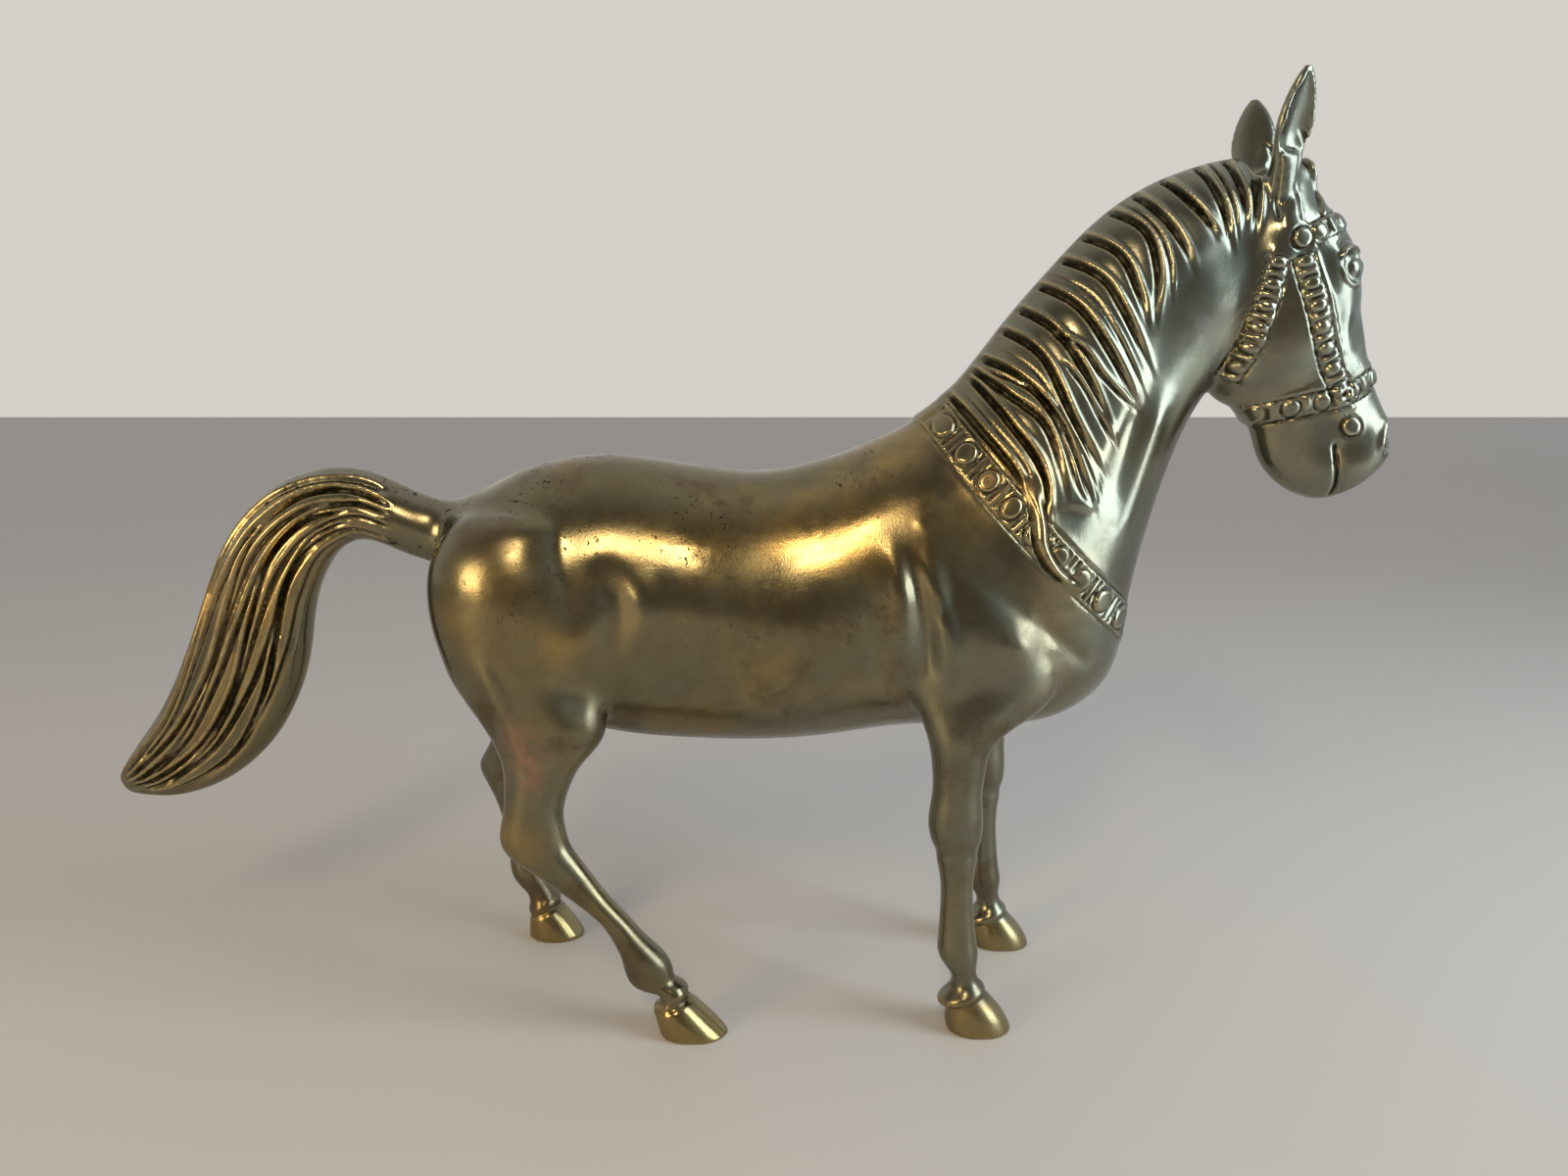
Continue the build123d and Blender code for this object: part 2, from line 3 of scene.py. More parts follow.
import bmesh
import bpy
import numpy as np
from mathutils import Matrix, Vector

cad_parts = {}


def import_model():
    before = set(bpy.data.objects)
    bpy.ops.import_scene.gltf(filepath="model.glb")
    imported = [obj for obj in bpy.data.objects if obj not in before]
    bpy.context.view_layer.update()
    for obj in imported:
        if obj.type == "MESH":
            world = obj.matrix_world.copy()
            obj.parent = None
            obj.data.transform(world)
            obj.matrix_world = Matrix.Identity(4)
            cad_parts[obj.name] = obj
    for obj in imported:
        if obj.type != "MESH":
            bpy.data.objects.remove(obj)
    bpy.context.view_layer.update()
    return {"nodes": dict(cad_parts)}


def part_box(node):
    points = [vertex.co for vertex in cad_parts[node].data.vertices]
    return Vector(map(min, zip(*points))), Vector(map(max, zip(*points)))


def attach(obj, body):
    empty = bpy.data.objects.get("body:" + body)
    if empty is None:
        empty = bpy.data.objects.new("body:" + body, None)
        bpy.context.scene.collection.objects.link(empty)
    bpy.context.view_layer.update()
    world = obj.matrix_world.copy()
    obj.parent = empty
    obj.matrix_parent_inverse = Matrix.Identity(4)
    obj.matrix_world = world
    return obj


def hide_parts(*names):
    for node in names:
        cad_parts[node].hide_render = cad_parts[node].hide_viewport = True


# The castings' skin is carved as one piece of clay, then cut along the brazed joints again.
# Side-view places are (x, z) pairs in mm, with x measured from the girth.
MM = 0.001
FAR = 1.0                       # reach of the cutters, beyond everything
GIRTH_X = 15.5 * MM             # the girth, from which places along the horse are measured
BRAZE = 0.4 * MM                # thickness of the brazed joints between the castings
NECK_JOINT_TOP = (43.0, 199.5)  # ends and sag of the arc of the neck joint
NECK_JOINT_FOOT = (110.0, 129.0)
NECK_JOINT_SAG = 4.0
TAIL_FROM = -111.5 * MM         # brazed joint of the tail

CLAY_STEP = 0.75 * MM           # mesh size of the clay
CLAY_ROUNDS = 3                 # smoothing that takes the steps out of it
NORMAL_ROUNDS = 8               # smoothing of the normals, along which the relief is raised
FINE_MARGIN = 1                 # mm behind the neck joint that are as fine as the neck
FLANK = (0.15, 0.5)             # sideways share of the normals between which relief sets in
MIDLINE = (1.5, 7)              # mm from the middle plane between which a widening sets in
RING_WIDTH = 0.55               # mm, of the groove round a boss
# Hollows and raised edges measured with these become painted shade and painted highlight in the material.
HOLLOW_ROUNDS = 5               # smoothing against which hollows and edges are measured
BODY_HOLLOW = 0.3               # how much of that counts on the smooth body

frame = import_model()
NODES = frame["nodes"]


# ------------------------------------------------------------------ meshes as arrays
def points_of(mesh):
    flat = np.empty(len(mesh.vertices) * 3, np.float32)
    mesh.vertices.foreach_get("co", flat)
    return flat.reshape(-1, 3).astype(float)


def normals_of(mesh):
    flat = np.empty(len(mesh.vertices) * 3, np.float32)
    mesh.vertices.foreach_get("normal", flat)
    return flat.reshape(-1, 3).astype(float)


def edges_of(mesh):
    flat = np.empty(len(mesh.edges) * 2, np.int32)
    mesh.edges.foreach_get("vertices", flat)
    return flat.reshape(-1, 2)


def place(mesh, points):
    mesh.vertices.foreach_set("co", points.astype(np.float32).ravel())
    mesh.update()


def smoothed(values, edges, rounds, share=0.5):
    """Each point's values move towards those of its neighbours, round after round."""
    count = len(values)
    a, b = edges[:, 0], edges[:, 1]
    neighbours = np.bincount(a, minlength=count) + np.bincount(b, minlength=count)
    alone = neighbours == 0
    for _ in range(rounds):
        middle = np.empty_like(values)
        for axis in range(values.shape[1]):
            own = values[:, axis]
            total = np.bincount(a, own[b], count) + np.bincount(b, own[a], count) + alone * own
            middle[:, axis] = total / (neighbours + alone)
        values = values + share * (middle - values)
    return values


def smooth_step(values, low, high):
    share = np.clip((values - low) / (high - low), 0, 1)
    return share * share * (3 - 2 * share)


# ------------------------------------------------------------------ the clay
def with_modifier(thing, kind, **settings):
    """The object's mesh after one modifier."""
    modifier = thing.modifiers.new(kind, kind)
    for name, value in settings.items():
        setattr(modifier, name, value)
    bpy.context.view_layer.update()
    shape = bpy.data.meshes.new_from_object(thing.evaluated_get(bpy.context.evaluated_depsgraph_get()))
    thing.modifiers.clear()
    return shape


def new_object(name, mesh):
    made = bpy.data.objects.new(name, mesh)
    bpy.context.scene.collection.objects.link(made)
    return made


def outer_skin(mesh):
    """Only the connected surface that reaches furthest forward: no inner walls."""
    work = bmesh.new()
    work.from_mesh(mesh)
    start = max(work.verts, key=lambda vertex: vertex.co.x)
    found = {start}
    front = [start]
    while front:
        vertex = front.pop()
        for edge in vertex.link_edges:
            other = edge.other_vert(vertex)
            if other not in found:
                found.add(other)
                front.append(other)
    bmesh.ops.delete(work, geom=[v for v in work.verts if v not in found], context="VERTS")
    work.to_mesh(mesh)
    work.free()


def make_clay(names):
    """One closed skin over the named castings."""
    work = bmesh.new()
    for name in names:
        work.from_mesh(NODES[name].data)
    joined = bpy.data.meshes.new("joined")
    work.to_mesh(joined)
    work.free()
    thing = new_object("clay", joined)
    mesh = with_modifier(thing, "REMESH", mode="VOXEL", voxel_size=CLAY_STEP, use_smooth_shade=True)
    outer_skin(mesh)
    bpy.data.objects.remove(thing)
    return mesh


def fill_creases(mesh, rounds, reach, least, evening):
    """Raises the surface where a much smoothed copy lies outside it, as in the angle between two forms."""
    points, normals, edges = points_of(mesh), normals_of(mesh), edges_of(mesh)
    lift = ((smoothed(points, edges, rounds) - points) * normals).sum(1)
    lift = np.clip(lift - least, 0, reach)
    lift = smoothed(lift[:, None], edges, evening)
    place(mesh, points + normals * lift)


# Side-view lines along which the castings flow into each other: line, reach and rounds of smoothing.
SOFTENED = [
    (((77, 168), (88, 174), (99, 184), (110, 205), (114, 226)), 11.0, 30),
    (((114, 226), (126, 247), (138, 257), (146, 257)), 9.0, 30),
    (((60, 215), (85, 235), (110, 258), (140, 272)), 26.0, 5),
    (((77, 180), (79, 169), (80, 161), (84, 154), (90, 149)), 4.0, 14),
    (((144, 279), (152, 279), (160, 281), (167, 276)), 6.5, 40),
    (((178, 246), (181, 248)), 5.5, 26),
    (((-56, 164), (-54, 148), (-55, 132), (-60, 118)), 13.0, 70),
    (((-102, 172), (-112, 154), (-112, 134)), 13.0, 160),
    (((34, 162), (35, 135), (38, 112)), 9.0, 50),
    (((52, 168), (76, 152), (88, 128)), 11.0, 50),
]


def side_view(points):
    """Side-view places of points."""
    return (points[:, [0, 2]] - (GIRTH_X, 0)) / MM


def soften(mesh, line, reach, rounds):
    """Smooths the surface near a side-view line."""
    points, edges, line = points_of(mesh), edges_of(mesh), np.array(line, float)
    places = side_view(points)
    best = np.full(len(points), np.inf)
    for start, end in zip(line, line[1:]):
        run = end - start
        share = np.clip((places - start) @ run / (run @ run), 0, 1)
        best = np.minimum(best, np.linalg.norm(places - start - share[:, None] * run, axis=1))
    near = best < 1.6 * reach  # next to nothing is left of the smoothing further out
    number = np.cumsum(near) - 1
    smooth = smoothed(points[near], number[edges[near[edges].all(1)]], rounds)
    keep = np.exp(-(best[near] / reach) ** 4)[:, None]
    points[near] += keep * (smooth - points[near])
    place(mesh, points)


def fine_parts(spots):
    """Which points lie on the neck and head ahead of the collar, or on the tail."""
    (x, z), radius = neck_joint_arc()
    ahead = np.hypot((spots[:, 0] - GIRTH_X) / MM - x, spots[:, 2] / MM - z) < radius + FINE_MARGIN
    return ahead | (spots[:, 0] < TAIL_FROM)


def refine(mesh):
    """Splits the faces of the finely carved parts."""
    work = bmesh.new()
    work.from_mesh(mesh)
    fine = fine_parts(points_of(mesh))
    edges = [edge for edge in work.edges if fine[edge.verts[0].index] and fine[edge.verts[1].index]]
    bmesh.ops.subdivide_edges(work, edges=edges, cuts=1, use_grid_fill=True)
    bmesh.ops.triangulate(work, faces=[face for face in work.faces if len(face.verts) > 4])
    work.to_mesh(mesh)
    work.free()


# ------------------------------------------------------------------ carving tools
def curve(places, steps=8):
    """Points of a smooth line through side-view places."""
    knots = [np.array(spot, float) for spot in places]
    knots = [2 * knots[0] - knots[1]] + knots + [2 * knots[-1] - knots[-2]]
    line = []
    for a, b, c, d in zip(knots, knots[1:], knots[2:], knots[3:]):
        for step in range(steps):
            t = step / steps
            line.append(0.5 * (2 * b + (c - a) * t + (2 * a - 5 * b + 4 * c - d) * t ** 2
                               + (3 * b - a - 3 * c + d) * t ** 3))
    line.append(knots[-2])
    return np.array(line)


class Surface:
    """The clay's points with their side-view places in mm, and the height to be added along the normals."""

    def __init__(self, mesh):
        self.mesh = mesh
        self.points, self.edges = points_of(mesh), edges_of(mesh)
        normals = smoothed(normals_of(mesh), self.edges, NORMAL_ROUNDS)
        self.normals = normals / np.linalg.norm(normals, axis=1)[:, None]
        self.places = side_view(self.points)
        self.across = self.points[:, 1] / MM
        self.flank = smooth_step(np.abs(self.normals[:, 1]), *FLANK)
        self.height = np.zeros(len(self.points))
        self.side = np.zeros(len(self.points))

    def near(self, line, reach):
        """Points within reach of a line: their numbers, signed distances and shares of its length."""
        low, high = line.min(0) - reach, line.max(0) + reach
        found = np.flatnonzero(((self.places > low) & (self.places < high)).all(1))
        best = np.full(len(found), np.inf)
        signed, along = np.zeros(len(found)), np.zeros(len(found))
        run = 0.0
        for start, end in zip(line, line[1:]):
            length = np.linalg.norm(end - start)
            direction = (end - start) / length
            offset = self.places[found] - start
            share = np.clip(offset @ direction, 0, length)
            gap = offset - share[:, None] * direction
            distance = np.hypot(gap[:, 0], gap[:, 1])
            side = np.where(direction[0] * gap[:, 1] - direction[1] * gap[:, 0] < 0, -1.0, 1.0)
            closer = distance < best
            best[closer] = distance[closer]
            signed[closer] = (side * distance)[closer]
            along[closer] = (run + share)[closer]
            run += length
        close = best < reach
        return found[close], signed[close], along[close] / run

    def strand(self, line, depth, width, lip=0.0, fade=(0.1, 0.3)):
        """A groove, or a ridge where the depth is negative, with a lip on its left and faded ends."""
        reach, lip_at = 4 * width, 1.6 * width
        found, signed, along = self.near(line, reach)
        keep = smooth_step(along, 0, fade[0]) * (1 - smooth_step(along, 1 - fade[1], 1)) * self.flank[found]
        groove = np.exp(-(signed / width) ** 2)
        raised = np.exp(-((signed - lip_at) / width) ** 2)
        self.height[found] += keep * (lip * raised - depth * groove)

    def swell(self, centre, radii, turn, height, power=2.0, ring=0.0):
        """A rounded boss, or a hollow where the height is negative, with a groove round it."""
        reach = 2 * max(radii)
        found = np.flatnonzero((np.abs(self.places - centre) < reach).all(1))
        angle = math.radians(turn)
        offset = self.places[found] - centre
        local = np.stack([offset @ (math.cos(angle), math.sin(angle)),
                          offset @ (-math.sin(angle), math.cos(angle))], 1) / radii
        distance = np.hypot(local[:, 0], local[:, 1])
        edge = np.exp(-((distance - 1) * min(radii) / RING_WIDTH) ** 2)
        self.height[found] += self.flank[found] * (height * np.exp(-distance ** power) - ring * edge)

    def clear(self, line, reach):
        """Takes back what has been carved near a line."""
        found, signed, _ = self.near(line, 2 * reach)
        self.height[found] *= 1 - np.exp(-(signed / reach) ** 4)

    def widen(self, centre, radii, amount):
        """Pushes both sides of the body outwards, for a flatter side and a firmer edge in front of it."""
        offset = (self.places - centre) / radii
        share = np.exp(-(offset ** 2).sum(1)) * smooth_step(np.abs(self.across), *MIDLINE)
        self.side += amount * share * np.sign(self.across)

    def band(self, centre, slope, reach, depth, width):
        """A groove round a leg, in a plane that rises towards the front."""
        spot = np.array(centre, float)
        offset = (self.points - (GIRTH_X, 0, 0)) / MM - spot
        found = np.flatnonzero((np.abs(offset) < reach).all(1))
        distance = offset[found, 2] - slope * offset[found, 0]
        self.height[found] -= depth * np.exp(-(distance / width) ** 2)

    def finish(self):
        """Moves the points by their heights and keeps how hollow or proud each place has become, for the
        material's painted shade and painted highlight.
        """
        points = self.points + self.normals * (self.height * MM)[:, None]
        points[:, 1] += self.side * MM
        points = smoothed(points, self.edges, 1)
        place(self.mesh, points)
        normals = normals_of(self.mesh)
        # how hollow (positive) or proud (negative) each place is, which the material turns into painted
        # shade and painted highlight
        depth = ((smoothed(points, self.edges, HOLLOW_ROUNDS) - points) * normals).sum(1) / MM
        depth *= np.where(fine_parts(points), 1.0, BODY_HOLLOW)
        hollow = self.mesh.attributes.new("hollow", "FLOAT", "POINT")
        hollow.data.foreach_set("value", depth.astype(np.float32))


# ------------------------------------------------------------------ relief on the castings
# Grooves between the locks of the mane, from the withers to the poll, each from the crest down.
LOCKS = [
    ((50, 212), (60.5, 198), (72, 183), (77, 168)),
    ((56, 218), (70, 199.5), (79.5, 186), (82, 171)),
    ((54, 221), (70, 208), (82, 197), (88, 174)),
    ((57, 223), (74, 213), (86, 199), (97, 172)),
    ((64, 232), (80, 220.5), (90, 200), (99, 184)),
    ((69, 239), (84, 228.5), (94, 214), (103, 193)),
    ((75, 246), (91, 236), (101, 222), (110, 205)),
    ((82, 254), (98, 245), (105, 235), (114, 216)),
    ((89, 261), (104, 252), (110, 240), (114, 226)),
    ((98, 269), (112, 259), (116, 246), (115.5, 233)),
    ((106, 276), (117, 264), (123, 255), (126, 247)),
    ((115, 281), (125, 269), (131, 261), (134, 254)),
    ((126, 286), (132, 276), (136, 266), (138, 257)),
    ((137, 288), (141, 276), (143, 267), (143, 260)),
    ((145, 288), (147, 276), (147, 266), (146, 257)),
]
# Finer hairs between them.
HAIRS = [
    ((86, 219), (93, 210.5), (99.5, 198.7), (105, 189.8)),
    ((81.9, 227.5), (92.5, 222.2), (99.9, 212.5), (109.3, 203.7), (114.3, 203.2)),
    ((60, 216.4), (71.1, 212.7), (81.3, 205.1), (87.8, 190.8), (91.9, 177.8), (97.7, 172.2)),
    ((66.6, 202.7), (75.8, 191.3), (81, 180.8), (81.6, 167.6), (89.1, 158.4)),
    ((118, 277), (130, 263), (136, 255)),
]
# Hairs of the forelock, between the ear and the browband.
FORELOCK = [
    ((157, 290), (165, 279), (168, 270), (167, 263)),
    ((164, 290), (171, 279), (173, 269), (171, 261)),
    ((172, 287), (179, 277), (180, 270), (177, 263)),
]
OVER_COLLAR = ((77, 180), (79, 169), (80, 161), (84, 154), (90, 149))  # the lock that crosses the collar

COLLAR_WIDTH = 11.0
COLLAR_PLATES = 9
PLATE_RADII = (4.3, 3.4)
BAR_SIDE = 1.1                  # from the middle of a bar between two plates to the groove beside it
BAR_HALF = 4.8                  # half a bar's length
COLLAR_EDGES = (-COLLAR_WIDTH / 2 - 0.2, COLLAR_WIDTH / 2)

STRAP_HALF = 3.3                # half the width of a bridle strap
# The bridle's straps, with the pitch of their ovals: cheek strap, throatlatch, noseband and browband.
STRAPS = [
    (((160.6, 250.5), (164, 240), (170.5, 222), (179.5, 205)), 7.2),
    (((153.5, 250), (151, 238), (147, 223), (142, 212)), 6.4),
    (((150, 200), (164, 203.5), (181, 208), (196, 217)), 9.5),
    (((163, 256.5), (172, 260.5), (182, 264.5)), 9.0),
]
# An oval and a bar: place and half length as shares of the pitch, height, depth of the groove round it.
BEADS = [(0.3, 0.31, 0.75, 0.45), (0.78, 0.12, 0.6, 0.0)]
CROWNPIECE = ((156.5, 260), (155.5, 272), (155, 284))
CROWNPIECE_EDGES = (-3.4, 3.4)
ROSETTES = [((160, 255.4), (3.4, 3.6)), ((182, 197.6), (3.5, 3.5))]

# Firmer sides of the face at eye, nose and nostril: centre, radii and how far each side moves outwards.
FACE_WIDTHS = [
    ((177, 247), (10, 15), 3.4),
    ((184, 222), (9, 16), 2.2),
    ((195, 193), (9, 10), 2.4),
]
# Eye socket, eyeball, nostril, the lips on both sides of the mouth, cheek:
# centre, radii, turn in degrees, height and sharpness of the edge.
FACE_FORMS = [
    ((177.9, 247.1), (4.7, 3.7), 75, -1.3, 4),
    ((178.1, 246.9), (2.5, 3.2), 12, 1.9, 3),
    ((196.6, 193.2), (3.9, 1.9), 65, -2.2, 3),
    ((176, 181), (6, 8), 0, 0.8, 2),
    ((187, 184), (6, 8), 0, 0.8, 2),
    ((159, 226), (15, 12), 60, 1.3, 4),
]
# Upper lid, the fold under it, lower lid, the fold over the eye, wing of the nostril, the hollow along
# the nose and the crest behind it: places, depth, width and shares of the ends that fade out.
FACE_LINES = [
    (((172.4, 248.6), (174.4, 251.9), (178.4, 253.0), (182.4, 250.2)), -1.3, 0.8, (0.2, 0.2)),
    (((173.4, 248.4), (175.0, 250.8), (178.4, 251.5), (181.4, 249.4)), 0.8, 0.5, (0.2, 0.2)),
    (((172.8, 247.4), (174.4, 243.2), (178.0, 241.3), (182.0, 244.0)), -0.7, 0.7, (0.2, 0.2)),
    (((170.5, 252.4), (174.6, 255.6), (179.6, 255.4)), 0.5, 0.8, (0.3, 0.3)),
    (((193.4, 188), (193.0, 193.5), (195.6, 199), (199, 200)), -0.8, 1.2, (0.3, 0.3)),
    (((185, 240), (182.5, 228), (185.5, 216)), 0.6, 3.4, (0.3, 0.3)),
    (((178, 238), (176, 228), (179, 217)), -0.5, 2.6, (0.3, 0.3)),
]
MOUTH = ((177.6, 193.5), (178.8, 187), (180, 180), (180.6, 171))

# Upper and lower edge of the tail, from the tip to the dock.
TAIL = [
    ((-231.2, 76), (-227, 70.6)),
    ((-226, 85.2), (-206.5, 71)),
    ((-213.7, 102), (-183.8, 82.9)),
    ((-202.2, 125.3), (-169.6, 101)),
    ((-192.3, 149), (-162.3, 120.8)),
    ((-179.2, 169.9), (-159.2, 138)),
    ((-160.2, 182), (-152.8, 152.5)),
    ((-141.5, 183.5), (-141.5, 159.7)),
    ((-128, 178.5), (-127.5, 155)),
]
TAIL_GROOVES = 10
TAIL_BARE = 0.07                # share of the tail's width without grooves along each edge
TAIL_WANDER = 0.035             # share of its width by which a groove wanders

# Soft forms of the body: centre, radii, turn in degrees and height.
BODY_FORMS = [
    ((-29, 152), (13, 22), 0, 1.0),
    ((4, 157), (18, 18), 0, -1.2),
    ((12, 128), (14, 20), 0, 0.6),
    ((-14, 118), (12, 14), 0, -0.5),
    ((96, 118), (8, 7), -30, 1.0),
    ((73, 131), (7, 6), -30, 1.0),
    ((64, 118), (10, 8), 0, -0.8),
    ((-62, 131), (7, 8), 0, 1.4),
    ((-86, 150), (22, 26), 0, 1.2),
    ((-66, 116), (5, 8), 20, -0.8),
    ((131, 244), (9, 12), 10, 1.0),
]
# Folds where the depth is positive and muscles where it is negative: places, depth, width and fading ends.
BODY_LINES = [
    (((32, 166), (35.5, 150), (37, 132), (39, 110)), -1.3, 3.2, (0.35, 0.3)),
    (((42, 164), (47, 148), (51, 132), (54, 112)), -1.5, 3.6, (0.35, 0.3)),
    (((37.5, 162), (41.5, 148), (44, 132), (46, 116)), 1.2, 2.6, (0.3, 0.3)),
    (((26, 158), (28, 142), (30, 126), (34, 108)), 0.8, 4.0, (0.3, 0.3)),
    (((76, 141), (84, 134), (92, 127), (99, 121)), 1.1, 3.0, (0.35, 0.25)),
    (((-58, 160), (-53, 147), (-52.5, 136), (-58, 120)), 1.8, 5.0, (0.35, 0.3)),
    (((-45, 156), (-42, 140), (-46, 124)), -0.7, 5.0, (0.4, 0.4)),
    (((-96, 132), (-90, 118), (-84, 104), (-79, 90)), -0.9, 3.5, (0.35, 0.3)),
    (((121, 214), (117, 196), (110, 172), (103, 150)), -1.0, 3.4, (0.25, 0.3)),
    (((112, 210), (108, 192), (101, 170)), 0.8, 3.6, (0.3, 0.35)),
]
# Upper edges of the hooves, as x, y, z in mm and their slope towards the front: hind, then fore.
CORONETS = [(-36, -33, 11.3, 0.36), (-92, 37, 11.3, 0.4), (61, -30, 11.2, 0.34), (79.5, 30, 11.2, 0.34)]
CORONET_REACH = (16, 12, 10)
CORONET_RIM = 2.6               # from the groove up to the ridge over it
KNEES = [(56, -30, 62), (74.5, 30, 62)]
KNEE_REACH = (12, 10, 8)


def neck_joint_arc():
    """Centre and radius of the arc of the neck joint, in side view."""
    (x1, z1), (x2, z2) = NECK_JOINT_TOP, NECK_JOINT_FOOT
    chord = math.hypot(x2 - x1, z2 - z1)
    radius = chord * chord / (8 * NECK_JOINT_SAG) + NECK_JOINT_SAG / 2
    ahead = (radius - NECK_JOINT_SAG) / chord
    return ((x1 + x2) / 2 + (z1 - z2) * ahead, (z1 + z2) / 2 + (x2 - x1) * ahead), radius


def mane(surface):
    """Locks with a raised upper edge and a dark groove under it, and finer hairs between them."""
    lines = []
    for index, lock in enumerate(LOCKS):
        end, before = np.array(lock[-1]), np.array(lock[-2])
        direction = (end - before) / np.linalg.norm(end - before)
        longer = 5 + 4 * math.sin(2.2 * index)  # so that the locks don't end in one line
        lines.append(curve(lock + (tuple(end + direction * longer),)))
    for line in lines:
        surface.strand(line, depth=1.6, width=1.0, lip=0.9, fade=(0.15, 0.5))
        surface.strand(line, depth=0.5, width=2.6, fade=(0.2, 0.5))
    for rear, ahead in list(zip(lines, lines[1:]))[::3]:
        surface.strand(0.55 * rear + 0.45 * ahead, depth=0.5, width=0.6, lip=0.35, fade=(0.4, 0.35))
    for hair in HAIRS:
        surface.strand(curve(hair), depth=0.9, width=0.75, lip=0.6, fade=(0.2, 0.35))
    for lock in FORELOCK:
        surface.strand(curve(lock), depth=0.9, width=0.8, lip=0.6, fade=(0.25, 0.25))
    surface.clear(curve(OVER_COLLAR), reach=3.6)
    surface.strand(curve(OVER_COLLAR), depth=-1.8, width=1.9, fade=(0.3, 0.12))
    for shift in (-2.6, 2.4):
        surface.strand(curve(OVER_COLLAR) + (shift, 0), depth=0.9, width=0.7, fade=(0.3, 0.12))


def collar(surface):
    """Breast collar: rounded plates with a groove round each and a narrow bar between two of them."""
    (x, z), radius = neck_joint_arc()
    middle = radius - COLLAR_WIDTH / 2
    first = math.atan2(NECK_JOINT_TOP[1] - z, NECK_JOINT_TOP[0] - x) % math.tau
    last = math.atan2(NECK_JOINT_FOOT[1] - z, NECK_JOINT_FOOT[0] - x) % math.tau
    pitch = (last - first) / COLLAR_PLATES
    for index in range(COLLAR_PLATES + 1):
        angle = first + index * pitch
        outward = np.array([math.cos(angle), math.sin(angle)])
        along = np.array([-outward[1], outward[0]])
        for shift in (-BAR_SIDE, BAR_SIDE):
            bar = [(x, z) + outward * (middle + reach) + along * shift for reach in (-BAR_HALF, BAR_HALF)]
            surface.strand(np.array(bar), depth=0.6, width=0.55, fade=(0.1, 0.1))
    for index in range(COLLAR_PLATES):
        angle = first + (index + 0.5) * pitch
        spot = (x + middle * math.cos(angle), z + middle * math.sin(angle))
        surface.swell(spot, PLATE_RADII, math.degrees(angle), height=0.35, power=6, ring=0.75)
    for reach in COLLAR_EDGES:
        angles = np.linspace(first, last, 60)
        edge = np.stack([x + (middle + reach) * np.cos(angles), z + (middle + reach) * np.sin(angles)], 1)
        surface.strand(edge, depth=0.6, width=0.6, fade=(0.01, 0.01))


def beaded_strap(surface, places, pitch):
    """A strap of ovals with a bar between two of them, between two edge grooves."""
    line = curve(places, steps=12)
    lengths = np.concatenate([[0], np.cumsum(np.linalg.norm(np.diff(line, axis=0), axis=1))])
    count = max(1, round(lengths[-1] / pitch))
    for index in range(count):
        for share, half, height, ring in BEADS:
            run = lengths[-1] * (index + share) / count
            spot = np.array([np.interp(run, lengths, line[:, axis]) for axis in (0, 1)])
            later = np.array([np.interp(run + 0.5, lengths, line[:, axis]) for axis in (0, 1)])
            turn = math.degrees(math.atan2(later[1] - spot[1], later[0] - spot[0]))
            surface.swell(spot, (half * pitch, STRAP_HALF - 0.3), turn, height, power=3, ring=ring)
    for side in (-1, 1):
        step = np.gradient(line, axis=0)
        step /= np.linalg.norm(step, axis=1)[:, None]
        edge = line + side * (STRAP_HALF + 0.2) * np.stack([-step[:, 1], step[:, 0]], 1)
        surface.strand(edge, depth=0.45, width=0.55, fade=(0.02, 0.02))


def bridle(surface):
    """Beaded straps, the smooth crownpiece behind the ears, and rosettes at the ends of the cheek strap."""
    for places, pitch in STRAPS:
        beaded_strap(surface, places, pitch)
    for side in CROWNPIECE_EDGES:
        surface.strand(curve(CROWNPIECE) + (side, 0), depth=0.6, width=0.6, fade=(0.1, 0.3))
    for centre, radii in ROSETTES:
        surface.swell(centre, radii, turn=0, height=0.5, power=4, ring=0.9)


def face(surface):
    """Eye, nostril, mouth and cheek."""
    for centre, radii, amount in FACE_WIDTHS:
        surface.widen(centre, radii, amount)
    for centre, radii, turn, height, power in FACE_FORMS:
        surface.swell(centre, radii, turn, height, power)
    for places, depth, width, fade in FACE_LINES:
        surface.strand(curve(places), depth, width, fade=fade)
    surface.strand(curve(MOUTH), depth=1.5, width=1.0, lip=-0.4, fade=(0.15, 0.01))


def tail(surface):
    """Long grooves that run together and part again from the dock to the tip."""
    for index in range(TAIL_GROOVES):
        base = TAIL_BARE + (1 - 2 * TAIL_BARE) * (index + 0.5) / TAIL_GROOVES
        start = 1 if index % 3 == 1 else 0
        end = len(TAIL) - index % 2
        places = []
        for number, edges in enumerate(TAIL[start:end]):
            upper, lower = np.array(edges)
            share = base + TAIL_WANDER * math.sin(1.1 * number + 2.3 * index)
            places.append(upper + share * (lower - upper))
        depth = 1.1 + 0.3 * (index % 3)
        surface.strand(curve(places, steps=5), depth, width=0.85, lip=0.45, fade=(0.06, 0.05))


def muscles(surface):
    """Soft forms and folds of trunk, haunches, shoulders and neck."""
    for centre, radii, turn, height in BODY_FORMS:
        surface.swell(centre, radii, turn, height)
    for places, depth, width, fade in BODY_LINES:
        surface.strand(curve(places), depth, width, fade=fade)


def legs(surface):
    """Coronets over the hooves, and the fold over each knee."""
    for x, y, z, slope in CORONETS:
        surface.band((x, y, z), slope, CORONET_REACH, depth=0.7, width=0.75)
        surface.band((x, y, z + CORONET_RIM), slope, CORONET_REACH, depth=-0.25, width=1.3)
    for centre in KNEES:
        surface.band(centre, 0.0, KNEE_REACH, depth=0.5, width=2.2)


# ------------------------------------------------------------------ cutting into castings
LEG_AROUND = 6 * MM             # from a leg to the sides of its cutter
LEG_INSIDE = 1 * MM             # the same towards the middle plane
SHARP_ANGLE = 60                # degrees, of the edges that cutting leaves


